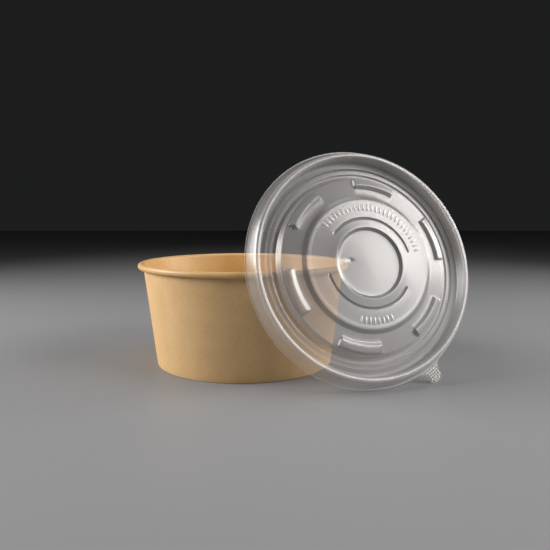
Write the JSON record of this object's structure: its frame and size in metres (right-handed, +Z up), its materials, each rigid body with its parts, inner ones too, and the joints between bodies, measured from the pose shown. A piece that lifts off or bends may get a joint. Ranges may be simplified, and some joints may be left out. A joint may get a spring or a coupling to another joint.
{
  "type": "paper salad bowl with lid",
  "caption": "Round kraft paperboard takeaway bowl with a rolled rim, open, and its milky plastic lid leaning on the rim.",
  "frame": {"origin": "middle of the whole footprint, on the surface that the bowl's foot and the lid's edge stand on", "axes": "+X to the right as seen from the front, from the bowl to the lid; +Y to the back; +Z up along the bowl's axis"},
  "size_m": [0.2252, 0.1664, 0.1461],
  "materials": {
    "kraft_board": "matt natural kraft with a thin clear coating, fine brown fibres",
    "kraft_floor": "satin coated kraft, fine brown fibres",
    "milky_plastic": "translucent milky polypropylene, satin with bright edges"
  },
  "bodies": {
    "root": {"bowl_wall": "kraft_board", "bowl_base": "kraft_floor", "lid": "milky_plastic"}
  },
  "joints": []
}
